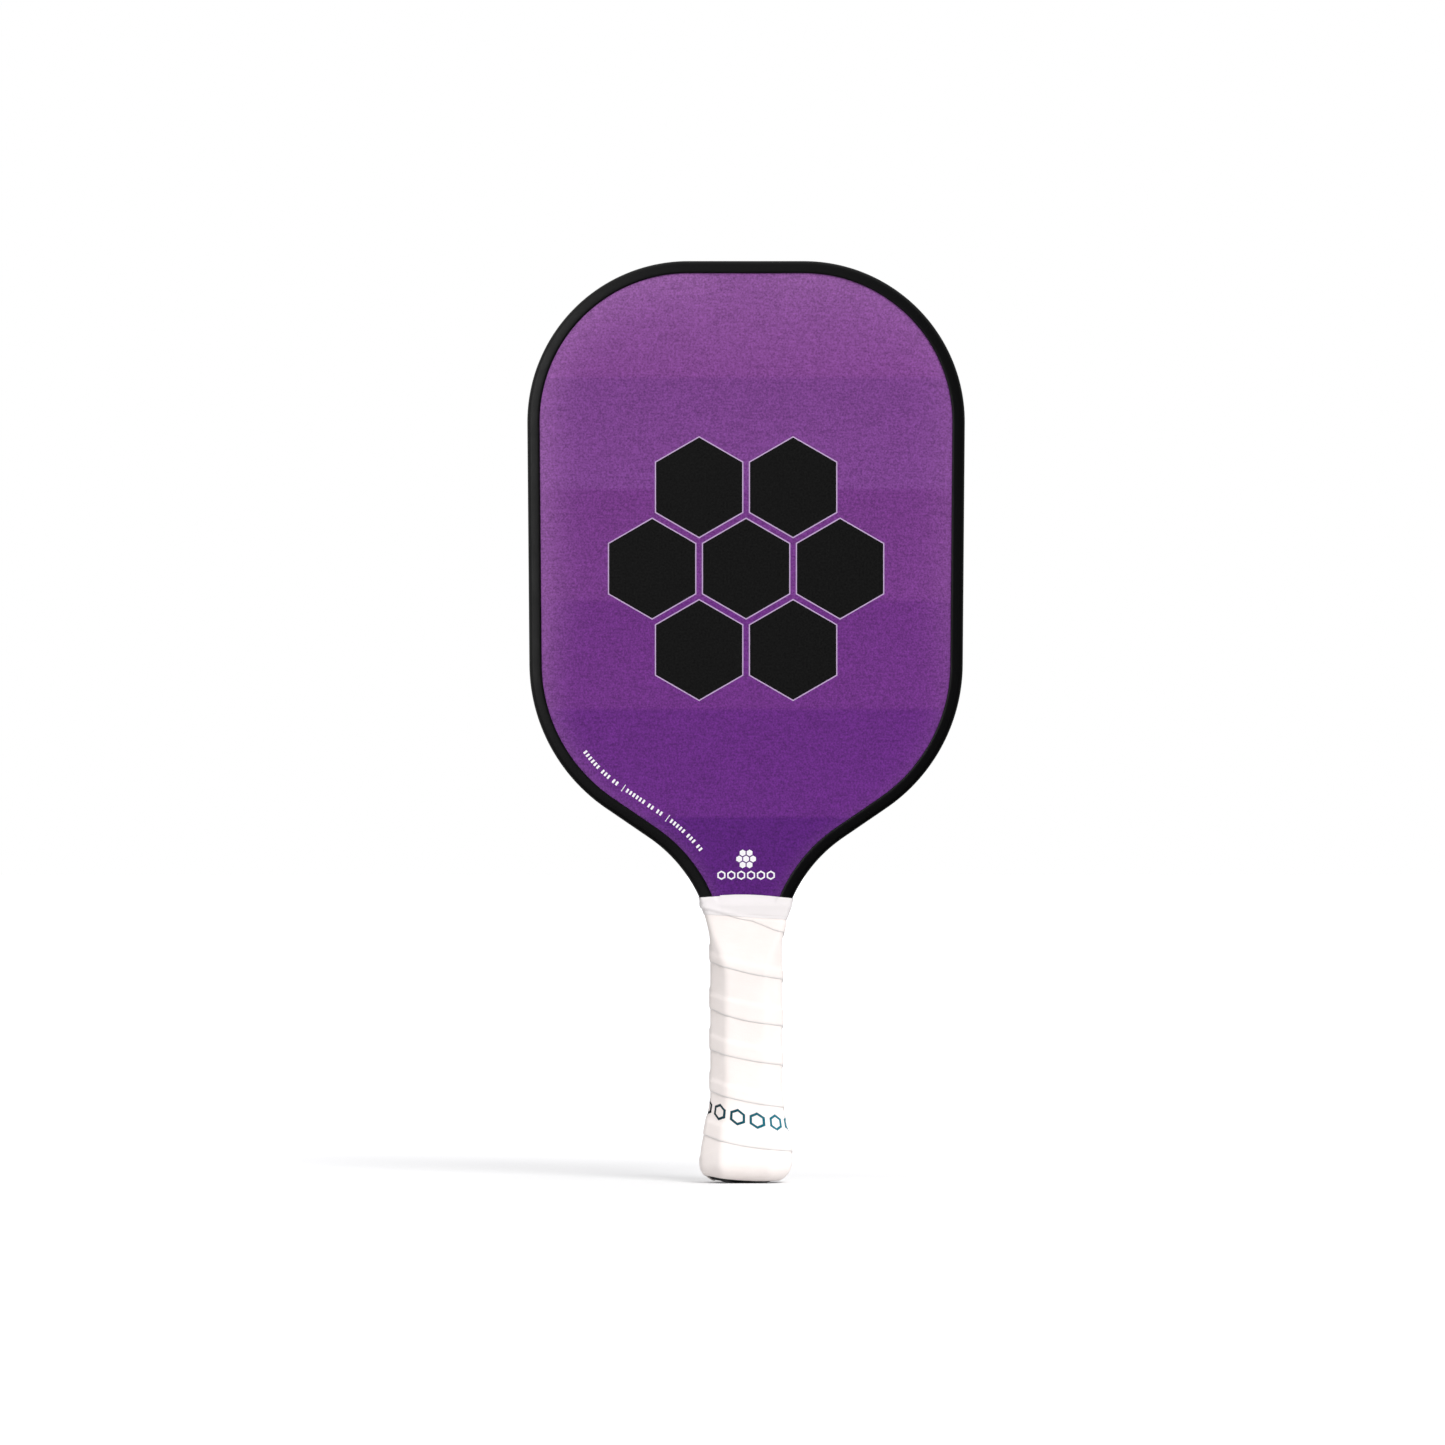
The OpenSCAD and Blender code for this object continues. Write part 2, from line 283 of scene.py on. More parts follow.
def grip_size(z):
    """Half width, half depth and bevel of the finished grip, above the butt's rounding."""
    flare = (FLARE_TOP - z) / (FLARE_TOP - FLARE_BOTTOM)
    ramp = (z - RAMP_BOTTOM) / (RAMP_TOP - RAMP_BOTTOM)
    climb = max(z, THROAT_HEIGHT) - THROAT_HEIGHT
    neck = THROAT[0] - math.sqrt((THROAT_RADIUS - NECK_COVER) ** 2 - climb ** 2)
    return np.array([
        max(mix(HANDLE_REACH, BUTT_REACH, flare), neck),
        mix(mix(HANDLE_DEPTH, BUTT_DEPTH, flare), NECK_DEPTH, ramp),
        mix(mix(HANDLE_BEVEL, BUTT_BEVEL, flare), NECK_BEVEL, BEVEL_HASTE * ramp),
    ])


def taken_in(size, distance):
    """A grip size, moved inwards square to all eight sides."""
    return size - distance * np.array([1, 1, OFFSET_BEVEL])


def butt_turn(rise):
    """How far round the butt's lower edge a point is, from 0 on the side to a right angle below."""
    return max(0, (BUTT_RISE + BUTT_ROUND - rise) / BUTT_ROUND)


def form_row(rise, distance):
    """Height and size of the grip, taken in, where rise is measured up along its surface."""
    turn = butt_turn(rise)
    if turn > 0:
        height = BUTT_RISE + BUTT_ROUND * (1 - math.sin(turn))
        butt = np.array([BUTT_REACH, BUTT_DEPTH, BUTT_BEVEL])
        return height, taken_in(butt, distance + BUTT_ROUND * (1 - math.cos(turn)))
    spread = min(SOFTENING, (rise - BUTT_ROUND - BUTT_RISE) / 2)
    nearby = [grip_size(rise + spread * t) for t in (-1, -0.5, 0, 0.5, 1)]
    return rise, taken_in(sum(nearby) / len(nearby), distance)


def eight_sided(size, height, count, roundness=36):
    """A ring round the grip with soft corners: from the front's middle, clockwise from above."""
    reach, depth, bevel = size
    angle = -math.pi / 2 - np.linspace(0, 2 * math.pi, 1441)
    across = abs(np.cos(angle))
    deep = abs(np.sin(angle))
    sides = (across / reach) ** roundness + (deep / depth) ** roundness
    corners = ((across + deep) / (reach + depth - bevel)) ** roundness
    radius = (sides + corners) ** (-1 / roundness)
    x = radius * np.cos(angle)
    y = radius * np.sin(angle)
    length = np.concatenate([[0], np.cumsum(np.hypot(np.diff(x), np.diff(y)))])
    places = np.linspace(0, length[-1], count, endpoint=False)
    return np.stack([np.interp(places, length, x), np.interp(places, length, y),
                     np.full(count, height)], axis=1)


def round_ring(radius, height, count):
    """A circle, from the front's middle, clockwise from above."""
    angle = -math.pi / 2 - np.linspace(0, 2 * math.pi, count, endpoint=False)
    x = radius * np.cos(angle)
    y = radius * np.sin(angle)
    return np.stack([x, y, np.full(count, height)], axis=1)


def grip_form():
    """Points and outward normals all over the surface that the overgrip is wound on."""
    points = []
    for rise in RISES:
        height, size = form_row(rise, WRAP)
        points.append(eight_sided(size, height, AROUND))
    points = np.array(points)
    along = np.roll(points, -1, axis=1) - np.roll(points, 1, axis=1)
    up = np.gradient(points, axis=0)
    normals = np.cross(up, along)
    normals /= np.linalg.norm(normals, axis=2, keepdims=True)
    return points, normals


FORM_POINTS, FORM_NORMALS = grip_form()


def on_form(turn, rise, lift):
    """Points on the grip: turns from the front's middle, rise up the surface, lift off it."""
    column = np.mod(turn, 1) * AROUND
    row = np.clip((rise - RISE_LOW) / RISE_STEP, 0, len(RISES) - 1.001)
    i = np.floor(row).astype(int)
    j = np.floor(column).astype(int) % AROUND
    k = (j + 1) % AROUND
    up = (row - i)[..., None]
    on = (column - np.floor(column))[..., None]

    def between(grid):
        low = grid[i, j] * (1 - on) + grid[i, k] * on
        high = grid[i + 1, j] * (1 - on) + grid[i + 1, k] * on
        return low * (1 - up) + high * up

    normal = between(FORM_NORMALS)
    normal /= np.linalg.norm(normal, axis=-1, keepdims=True)
    return pulled_in(between(FORM_POINTS) + normal * np.asarray(lift)[..., None], rise, lift)


# Where the tape leaves the grip it is pressed down onto the blade and its guard
PRESS_START = 122.8
PRESS_END = 126.5
LIP_CLEARANCE = 0.3
LIP_RAMP = 1.2


def smooth(t):
    """A soft step from 0 to 1 as t goes from 0 to 1."""
    t = np.clip(t, 0, 1)
    return t * t * (3 - 2 * t)


def guard_inner_edge(z):
    """Distance of the guard's lip from the middle plane, beside the throat."""
    climb = np.clip(z, THROAT_HEIGHT, RISE_HIGH) - THROAT_HEIGHT
    return THROAT[0] - np.sqrt((THROAT_RADIUS + GUARD_LIP) ** 2 - climb ** 2)


def pulled_in(points, rise, lift):
    """Presses what is wound above the grip down onto the blade and its guard."""
    pressed = smooth((rise - PRESS_START) / (PRESS_END - PRESS_START))
    lip = guard_inner_edge(points[..., 2]) - LIP_CLEARANCE
    over_guard = smooth((abs(points[..., 0]) - lip + LIP_RAMP) / LIP_RAMP)
    bed = FILM_Y + (GUARD_Y - FILM_Y) * over_guard + lift
    y = points[..., 1]
    pulled = np.sign(y) * np.minimum(abs(y), bed)
    points[..., 1] = y + (pulled - y) * pressed
    return points


# ------------------------ overgrip

OVERGRIP_WIDTH = 24
OVERGRIP_LAYER = 0.52
OVERGRIP_TOP = 123
OVERGRIP_TURNS = (-0.8, 6.5)
# Height of the overgrip's lower edge after so many turns, counted at the front's middle
SEAM_TURNS = [-1, -0.05, 0.12, 0.25, 0.38, 0.8, 1, 2, 3, 4, 5, 5.89, 5.93, 5.97, 6.04, 6.3, 8]
SEAM_RISES = [
    -1.6, -1.6, 0.8, 2.8, 4, 13, 16.2, 35.9, 54.4, 71.5, 92.6, 110.9, 113.4, 115.3, 116.4, 122, 122,
]
# The edge climbs faster over the left bevel than over the front
CLIMB = (0.05, 0.25, 0.08, 0.25)
# The strip's start is cut to a long slant, and is so wide at its tip
START_WIDTH = 9.5
START_SLANT = 0.6
# How far the strip takes to come down from the edge of the turn that it covers
DRAPE = 2.2
# A strip's edge is rounded over: this share of its thickness at the very edge, all of it further in
EDGE_SHARE = 0.42
EDGE_WIDTH = 0.9
# Places that crowd together in a strip's rim, as shares of the rim
CROWDING = [0, 0.12, 0.4]


def seam(turn):
    """Rise of the overgrip's lower edge."""
    whole = 2 * math.pi * turn
    swing = (
        CLIMB[0] * np.sin(whole)
        + CLIMB[1] * (1 - np.cos(whole))
        + CLIMB[2] * np.sin(2 * whole) / 2
        + CLIMB[3] * (1 - np.cos(2 * whole)) / 2
    ) / (2 * math.pi)
    return np.interp(turn + swing, SEAM_TURNS, SEAM_RISES)


def overgrip_top(turn):
    """Rise of the overgrip's upper edge."""
    start = OVERGRIP_TURNS[0]
    width = mix(START_WIDTH, OVERGRIP_WIDTH, (turn - start) / START_SLANT)
    return np.minimum(seam(turn) + width, OVERGRIP_TOP)


def turn_below(turn, rise):
    """Lift of the overgrip's inner face where it lies over the turn below."""
    below = turn - 1
    beyond = (rise - overgrip_top(below)) / DRAPE
    covered = 1 - smooth(beyond)
    return OVERGRIP_LAYER * covered * (below >= OVERGRIP_TURNS[0])


def edge_thickness(distance, layer):
    """Thickness of a strip at a distance from its nearest edge."""
    return layer * (EDGE_SHARE + (1 - EDGE_SHARE) * np.sqrt(np.clip(distance / EDGE_WIDTH, 0, 1)))


def overgrip_outside(turn, rise):
    """Lift of the overgrip's outer face."""
    low = seam(turn)
    high = overgrip_top(turn)
    distance = np.minimum(rise - low, high - rise)
    return turn_below(turn, rise) + edge_thickness(distance, OVERGRIP_LAYER)


def across_strip(count, rim):
    """Places across a strip, from 0 to 1, that crowd together at its edges."""
    even = np.linspace(0, 1, count)
    crowded = rim * np.array(CROWDING)
    inner = rim + (1 - 2 * rim) * even
    return np.concatenate([crowded, inner, 1 - crowded[::-1]])


def wound_strip(name, turns, per_turn, low, high, inside, outside, places, material):
    """A closed strip wound round the grip between two edges, with its inner and outer faces."""
    count = math.ceil((turns[1] - turns[0]) * per_turn)
    turn, place = np.meshgrid(np.linspace(*turns, count), places, indexing="ij")
    rise = low(turn) + place * (high(turn) - low(turn))
    outer = on_form(turn, rise, outside(turn, rise))
    inner = on_form(turn, rise, inside(turn, rise))
    loops = np.concatenate([outer, inner[:, ::-1]], axis=1)
    around = loops.shape[1]
    faces = rings(count, around) + ring_ends(count, around)
    obj = piece(name, loops.reshape(-1, 3), faces, material, sharp=50)
    margin = np.minimum(place, 1 - place)
    note(obj, "margin", np.concatenate([margin, margin[:, ::-1]], axis=1))
    middle = outer[:, len(places) // 2]
    return obj, np.linalg.norm(np.diff(middle, axis=0), axis=1).sum()


def make_overgrip(material):
    """The overgrip as one wound strip, pulled tight over the base grip."""
    obj, length = wound_strip(
        "overgrip_wrap", OVERGRIP_TURNS, 132, seam, overgrip_top, turn_below, overgrip_outside,
        across_strip(27, 0.05), material,
    )
    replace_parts(obj, "overgrip")
    return obj


# ------------------------ finishing tape

TAPE_LAYER = 0.16
TAPE_GAP = 0.08
TAPE_TURNS = (-0.62, 1.1)
TAPE_BOTTOM = 118.2
TAPE_TOP = 126.3
# How much higher the two edges run on the left, and the upper one over both faces
LOW_TILT = 0.8
HIGH_TILT = 0.3
HIGH_BOW = 0.8
# How much lower the two edges run on the tape's first turn
LOW_DROP = 1.3
HIGH_DROP = 0.5
# How far the tape's bed is blended, in height and in turns, where the overgrip under it ends
BED_OVERLAP = 0.5
BED_BLEND = 0.8
BED_FALL = 2
BED_END = 0.04
BED_END_BLEND = 0.03
OVERLAP_BLEND = 0.02
# Turns of the overgrip that reach up under the tape
TURNS_UNDER_TAPE = (4, 5, 6)


def first_turn(turn):
    """1 on the tape's first turn, which fades to 0 on its second."""
    return 1 - smooth((turn + 0.1) / 0.5)


def tape_low(turn):
    """Rise of the tape's lower edge."""
    return TAPE_BOTTOM + LOW_TILT * np.sin(2 * math.pi * turn) - LOW_DROP * first_turn(turn)


def tape_high(turn):
    """Rise of the tape's upper edge."""
    tilt = HIGH_TILT * np.sin(2 * math.pi * turn)
    bow = HIGH_BOW * np.cos(4 * math.pi * turn)
    return TAPE_TOP + tilt + bow - HIGH_DROP * first_turn(turn)


def overgrip_lift(turn, rise):
    """Lift of the whole overgrip at a place, under the tape."""
    lift = np.zeros_like(rise)
    for whole in TURNS_UNDER_TAPE:
        there = np.mod(turn, 1) + whole
        low = seam(there)
        high = overgrip_top(there)
        present = smooth((rise - low + BED_OVERLAP) / BED_BLEND)
        present = present * smooth((high + BED_FALL - rise) / BED_FALL)
        present = present * smooth((OVERGRIP_TURNS[1] + BED_END - there) / BED_END_BLEND)
        reach = np.clip(rise, low, high)
        lift = np.maximum(lift, present * overgrip_outside(there, reach))
    return lift


def tape_inside(turn, rise):
    """Lift of the tape's inner face, over the overgrip and over the tape's own first turn."""
    over_itself = smooth((turn - TAPE_TURNS[0] - 1) / OVERLAP_BLEND)
    return overgrip_lift(turn, rise) + TAPE_GAP + TAPE_LAYER * over_itself


def tape_outside(turn, rise):
    """Lift of the tape's outer face."""
    distance = np.minimum(rise - tape_low(turn), tape_high(turn) - rise)
    return tape_inside(turn, rise) + edge_thickness(distance, TAPE_LAYER)


def make_finishing_tape(material):
    """The tape as one wound strip."""
    obj = wound_strip(
        "finishing_tape_wrap", TAPE_TURNS, 180, tape_low, tape_high, tape_inside, tape_outside,
        across_strip(13, 0.08), material,
    )[0]
    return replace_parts(obj, "finishing_tape")


# ------------------------ print on the overgrip

def hexagon(radius, per_side=1):
    """Corners of a hexagon with a corner up, each side cut into equal lengths."""
    angles = [math.pi / 6 + math.pi / 3 * i for i in range(6)]
    corners = [(radius * math.cos(a), radius * math.sin(a)) for a in angles]
    points = []
    for a, b in zip(corners, corners[1:] + corners[:1]):
        for i in range(per_side):
            points.append(tuple(p + (q - p) * i / per_side for p, q in zip(a, b)))
    return np.array(points)


GRIP_PRINT_RADIUS = 3.65
GRIP_PRINT_STROKE = 1.15
GRIP_PRINT_PITCH = 8.2
GRIP_PRINT_COUNT = 7
GRIP_PRINT_START = 20
GRIP_PRINT_RISE = 12.2
GRIP_PRINT_TURN = 1
GRIP_GIRTH = 104
PRINT_THICKNESS = 0.1


def printed_on_grip(flat, middle, lift):
    """Takes points from a flat print, right then up, to the overgrip's outside."""
    turn = GRIP_PRINT_TURN - (middle + flat[:, 0]) / GRIP_GIRTH
    rise = seam(turn) + GRIP_PRINT_RISE + flat[:, 1]
    return on_form(turn, rise, overgrip_outside(turn, rise) + lift)


def make_grip_print(material):
    """A row of hexagon outlines along the second turn of the overgrip."""
    outer = hexagon(GRIP_PRINT_RADIUS, per_side=5)
    inner = hexagon(GRIP_PRINT_RADIUS - GRIP_PRINT_STROKE, per_side=5)
    low, high = -PRINT_THICKNESS, PRINT_THICKNESS
    points = []
    faces = []
    for i in range(GRIP_PRINT_COUNT):
        middle = i * GRIP_PRINT_PITCH - GRIP_PRINT_START
        faces += hoop(len(outer), len(points))
        for outline, lift in ((outer, low), (outer, high), (inner, high), (inner, low)):
            points += list(printed_on_grip(outline, middle, lift))
    return piece("overgrip_print", points, faces, material)


# ------------------------ edge guard

GUARD_CROWN = 0.4
WALL_CROWN = 0.15
FLANGE_CURVE = 1.6
EDGE_SWEEP = math.radians(84)
EDGE_STEPS = 9
SIDE_STEPS = 6
LIP_STEPS = 5
LIP_RADIUS = 0.75
LIP_FOOT = 0.25
LIP_UNDERCUT = 0.1


def guard_half_section():
    """Half of the guard's section as [inset, y]: crowned wall, rounded edge, crowned flange, lip."""
    edge_y = GUARD_Y - GUARD_CROWN - GUARD_ROUND
    wall = []
    for i in range(SIDE_STEPS):
        t = i / SIDE_STEPS
        wall.append((WALL_CROWN * t ** 2, edge_y * t))
    edge = []
    for i in range(EDGE_STEPS + 1):
        a = EDGE_SWEEP * i / EDGE_STEPS
        depth = WALL_CROWN + (GUARD_ROUND - WALL_CROWN) * (1 - math.cos(a))
        edge.append((depth, edge_y + GUARD_ROUND * math.sin(a)))
    start, drop = edge[-1][0], GUARD_Y - edge[-1][1]
    flange = []
    for i in range(1, SIDE_STEPS):
        t = i / SIDE_STEPS
        depth = start + (GUARD_LIP - LIP_RADIUS - start) * t
        flange.append((depth, GUARD_Y - drop * (1 - t) ** FLANGE_CURVE))
    lip_y = FILM_Y + LIP_FOOT
    lip = []
    for i in range(LIP_STEPS + 1):
        a = math.pi / 2 * i / LIP_STEPS
        depth = GUARD_LIP - LIP_RADIUS * (1 - math.sin(a))
        lip.append((depth, lip_y + (GUARD_Y - lip_y) * math.cos(a)))
    return wall + edge + flange + lip + [(GUARD_LIP - LIP_UNDERCUT, FILM_Y), (GUARD_WALL, FILM_Y)]


def make_edge_guard(material):
    """The guard's section, carried round the head from one end to the other."""
    half = guard_half_section()
    section = half + [(i, -y) for i, y in reversed(half[1:])]
    path = filled(upper_half() + mirrored(upper_half()))
    points = []
    for row in path:
        for distance, y in section:
            x, z = inset(row, distance)
            points.append((x, y, z))
    faces = rings(len(path), len(section)) + ring_ends(len(path), len(section))
    obj = piece("edge_guard_strip", points, faces, material, sharp=40)
    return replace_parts(obj, "edge_guard")


# ------------------------ printed films

FILM_COLUMNS = 41


def outline_distance(points):
    """Distance from each [x, z] to the guard's outer edge."""
    half = filled(upper_half())
    edge = np.array([(x, z) for x, z, _, _ in half + mirrored(half)])
    result = []
    for x, z in points:
        result.append(np.hypot(edge[:, 0] - x, edge[:, 1] - z).min())
    return np.array(result)


def make_printed_film(side, material):
    """A film over one face, front or rear, as a closed sheet of even quads."""
    name = "front" if side < 0 else "rear"
    rows = [inset(row, BLADE_INSET) for row in filled(lower_half() + upper_half())]
    flat = []
    for reach, z in rows:
        flat += [(reach * t, z) for t in np.linspace(-1, 1, FILM_COLUMNS)]
    count = len(flat)
    points = [(x, side * FILM_Y, z) for x, z in flat] + [(x, side * SKIN_Y, z) for x, z in flat]
    faces = []
    for i in range(len(rows) - 1):
        for j in range(FILM_COLUMNS - 1):
            a = i * FILM_COLUMNS + j
            b = a + FILM_COLUMNS
            faces.append((a, a + 1, b + 1, b))
            faces.append((count + a, count + b, count + b + 1, count + a + 1))
    border = list(range(FILM_COLUMNS))
    border += [(i + 1) * FILM_COLUMNS - 1 for i in range(1, len(rows))]
    border += [count - 1 - j for j in range(1, FILM_COLUMNS)]
    border += [i * FILM_COLUMNS for i in range(len(rows) - 2, 0, -1)]
    for a, b in zip(border, border[1:] + border[:1]):
        faces.append((a, b, count + b, count + a))
    obj = piece(name + "_face_film", points, faces, material)
    distance = outline_distance(flat)
    note(obj, "rim", np.concatenate([distance, distance]))
    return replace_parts(obj, name + "_printed_film")


# ------------------------ print on the face

INK = 0.05
MOTIF_HEIGHT = 270.7
MOTIF_WIDTH = 38
MOTIF_GAP = 3.4
MOTIF_LINE = 0.5


def motif_centres(height, pitch):
    """Middles of seven hexagons, two over three over two."""
    row_rise = pitch * math.sqrt(3) / 2
    centres = []
    for row, count in ((1, 2), (0, 3), (-1, 2)):
        for i in range(count):
            centres.append((pitch * (i - (count - 1) / 2), height + row * row_rise))
    return centres


def shifted(outline, centre):
    """An outline moved to a centre."""
    return [(x + centre[0], z + centre[1]) for x, z in outline]


def make_motif(side, black, line):
    """Black hexagons with a thin pale line round each."""
    name = "front" if side < 0 else "rear"
    radius = MOTIF_WIDTH / math.sqrt(3)
    inner = hexagon(radius)
    outer = hexagon(radius + MOTIF_LINE / math.cos(math.pi / 6))
    bottom = side * (FILM_Y - INK)
    top = side * (FILM_Y + INK)
    centres = motif_centres(MOTIF_HEIGHT, MOTIF_WIDTH + MOTIF_GAP)
    fills = [shifted(inner, centre) for centre in centres]
    points, faces = prisms(fills, bottom, top)
    piece(name + "_motif_fill", points, faces, black)
    lines = [(shifted(outer, centre), shifted(inner, centre)) for centre in centres]
    points, faces = frames(lines, bottom, top)
    piece(name + "_motif_line", points, faces, line)


# Row of plain ticks along the lower left edge, where a maker prints the sizes: groups of words,
# each a number of ticks, with a thin bar between two groups
TICK_WORDS = [[6, 3, 2], [6, 2, 2], [5, 3, 2]]
TICK_INSET = 11.8
TICK_SIZE = (0.9, 1.85)
TICK_PITCH = 1.72
WORD_GAP = 1.2
BAR_SIZE = (0.35, 3.4)
BAR_GAP = 0.9
TICK_START_HEIGHT = 191


def edge_track():
    """Points along the lower left edge from the top down, each [x, z, normal x, normal z]."""
    track = []
    for row in reversed(filled(upper_half())):
        x, z = inset(row, TICK_INSET)
        if z < TICK_START_HEIGHT:
            track.append((-x, z, -row[2], row[3]))
    return np.array(track)


def tick_places():
    """Start along the track, and size, of each tick and bar."""
    places = []
    start = 0
    for group, words in enumerate(TICK_WORDS):
        if group:
            start += BAR_GAP
            places.append((start, BAR_SIZE))
            start += BAR_SIZE[0] + BAR_GAP + WORD_GAP / 2
        for count in words:
            places += [(start + i * TICK_PITCH, TICK_SIZE) for i in range(count)]
            start += count * TICK_PITCH + WORD_GAP
    return places


def make_edge_ticks(white):
    """The row of ticks and bars, each a thin plate that follows the edge."""
    track = edge_track()
    steps = np.hypot(np.diff(track[:, 0]), np.diff(track[:, 1]))
    length = np.concatenate([[0], np.cumsum(steps)])
    outlines = []
    for start, (width, height) in tick_places():
        ends = np.stack([np.interp([start, start + width], length, track[:, i]) for i in range(4)], axis=1)
        outer = [(r[0] + r[2] * height / 2, r[1] + r[3] * height / 2) for r in ends]
        inner = [(r[0] - r[2] * height / 2, r[1] - r[3] * height / 2) for r in ends]
        outlines.append(outer + inner[::-1])
    points, faces = prisms(outlines, -(FILM_Y - INK), -(FILM_Y + INK))
    return piece("front_edge_ticks", points, faces, white)


THROAT_MARK_HEIGHT = 142.8
THROAT_MARK_WIDTH = 2.55
THROAT_MARK_GAP = 0.5
CELL_COUNT = 6
CELL_PITCH = 4.35
CELL_RADIUS = 2.05
CELL_STROKE = 0.7
CELL_HEIGHT = 135.6


def make_throat_mark(white):
    """A small white copy of the motif, just above the grip, with a row of open cells under it."""
    near, far = -(FILM_Y - INK), -(FILM_Y + INK)
    cell = hexagon(THROAT_MARK_WIDTH / math.sqrt(3))
    centres = motif_centres(THROAT_MARK_HEIGHT, THROAT_MARK_WIDTH + THROAT_MARK_GAP)
    points, faces = prisms([shifted(cell, centre) for centre in centres], near, far)
    piece("front_throat_mark", points, faces, white)
    outer = hexagon(CELL_RADIUS)
    inner = hexagon(CELL_RADIUS - CELL_STROKE)
    row = [((i - (CELL_COUNT - 1) / 2) * CELL_PITCH, CELL_HEIGHT) for i in range(CELL_COUNT)]
    points, faces = frames([(shifted(outer, c), shifted(inner, c)) for c in row], near, far)
    piece("front_throat_cells", points, faces, white)


# ------------------------ end cap

CAP_AROUND = 144
CAP_EDGE_RINGS = 15


def lofted(name, loops, material, sharp=35):
    """A solid skinned over a stack of rings, closed at its first and last ring."""
    points = np.concatenate(loops)
    faces = rings(len(loops), CAP_AROUND) + ring_ends(len(loops), CAP_AROUND)
    return piece(name, points, faces, material, sharp)


def cap_ring(size, height):
    """An eight-sided ring with as many points as the cap's round ones."""
    return eight_sided(size, height, CAP_AROUND)


def make_end_cap(material):
    """A moulded rubber cup: badge recess, flat land, rounded edge, ledge, skirt and socket."""
    recess = BADGE_RADIUS + BADGE_GAP
    land = np.array([LAND_REACH, LAND_DEPTH, LAND_BEVEL])
    loops = [
        round_ring(recess, BADGE_THICKNESS, CAP_AROUND),
        round_ring(recess, RECESS_CHAMFER, CAP_AROUND),
        round_ring(recess + RECESS_CHAMFER, 0, CAP_AROUND),
        cap_ring(land, 0),
    ]
    edge_top = BUTT_RISE + BUTT_ROUND
    for rise in np.linspace(edge_top - BUTT_ROUND * math.pi / 2, edge_top, CAP_EDGE_RINGS):
        height, size = form_row(rise, WRAP)
        loops.append(cap_ring(size, height))
    top = taken_in(np.array([BUTT_REACH, BUTT_DEPTH, BUTT_BEVEL]), WRAP)
    loops.append(cap_ring(top, CAP_LEDGE - LEDGE_CHAMFER))
    loops.append(cap_ring(taken_in(top, LEDGE_CHAMFER), CAP_LEDGE))
    for height in SKIRT_HEIGHTS:
        loops.append(cap_ring(taken_in(grip_size(height), PALLET_INSET), height))
    socket = taken_in(np.array([HANDLE_REACH, HANDLE_DEPTH, HANDLE_BEVEL]), PALLET_INSET)
    loops.append(cap_ring(taken_in(socket, -SKIRT_CHAMFER), CAP_HEIGHT))
    loops.append(cap_ring(socket, CAP_HEIGHT - SOCKET_LEAD))
    loops.append(cap_ring(socket, CAP_FLOOR))
    obj = lofted("end_cap_cup", loops, material)
    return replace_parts(obj, "end_cap")


def make_badge(material):
    """A blank disc, dished inside a raised rim, flush with the cap's land."""
    rim = BADGE_RADIUS - BADGE_GAP
    levels = [(rim - 2.1, 0.3), (rim - 1.5, 0.25), (rim - 1.2, 0.03), (rim - 0.9, 0),
              (rim - 0.35, 0), (rim - 0.1, 0.06), (rim, 0.2), (rim, BADGE_THICKNESS)]
    loops = [round_ring(radius, height, CAP_AROUND) for radius, height in levels]
    obj = lofted("end_cap_disc", loops, material)
    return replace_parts(obj, "end_cap_badge")


# ------------------------ material tools

def srgb(red, green, blue):
    """A screen colour, from 0 to 255, as the linear colour that a shader takes."""
    values = []
    for c in (red / 255, green / 255, blue / 255):
        values.append(c / 12.92 if c <= 0.04045 else ((c + 0.055) / 1.055) ** 2.4)
    return (*values, 1)


def plug(tree, socket, value):
    """Links a socket to another, or sets its value."""
    if isinstance(value, bpy.types.NodeSocket):
        tree.links.new(value, socket)
    else:
        socket.default_value = value


def add(tree, kind, inputs=None, **settings):
    """A new node with its inputs plugged and its settings made."""
    node = tree.nodes.new("ShaderNode" + kind)
    for name, value in settings.items():
        setattr(node, name, value)
    for socket, value in (inputs or {}).items():
        plug(tree, node.inputs[socket], value)
    return node


def blended(tree, factor, first, second):
    """A colour between two others."""
    node = add(tree, "Mix", data_type="RGBA")
    plug(tree, node.inputs[0], factor)
    plug(tree, node.inputs[6], first)
    plug(tree, node.inputs[7], second)
    return node.outputs[2]


def math_node(tree, operation, first, second=0.0):
    """The sum, product or power of two values."""
    return add(tree, "Math", {0: first, 1: second}, operation=operation).outputs[0]


def ranged(tree, value, low, high, to_low=0.0, to_high=1.0):
    """A value carried from one range to another, and held at its ends."""
    inputs = {0: value, 1: low, 2: high, 3: to_low, 4: to_high}
    return add(tree, "MapRange", inputs).outputs[0]


def place(tree):
    """Where a point is on the paddle, in metres."""
    return add(tree, "TexCoord").outputs["Object"]


def noise(tree, size, detail=2.0, stretch=(1, 1, 1)):
    """Noise with features of a size in millimetres, longer where stretch is more than 1."""
    scale = tuple(1 / (size * MM * s) for s in stretch)
    spread = add(tree, "Mapping", {"Vector": place(tree), "Scale": scale})
    inputs = {"Vector": spread.outputs[0], "Scale": 1.0, "Detail": detail}
    return add(tree, "TexNoise", inputs).outputs[0]


def bumped(tree, shader, height, depth, strength=1.0):
    """Raises the surface by a height map that is depth millimetres deep."""
    inputs = {"Height": height, "Distance": depth * MM, "Strength": strength}
    node = add(tree, "Bump", inputs)
    tree.links.new(node.outputs[0], shader.inputs["Normal"])


def scaled(tree, colour, level):
    """A colour made lighter or darker by a value."""
    return add(tree, "VectorMath", {0: colour, "Scale": level}, operation="SCALE").outputs[0]


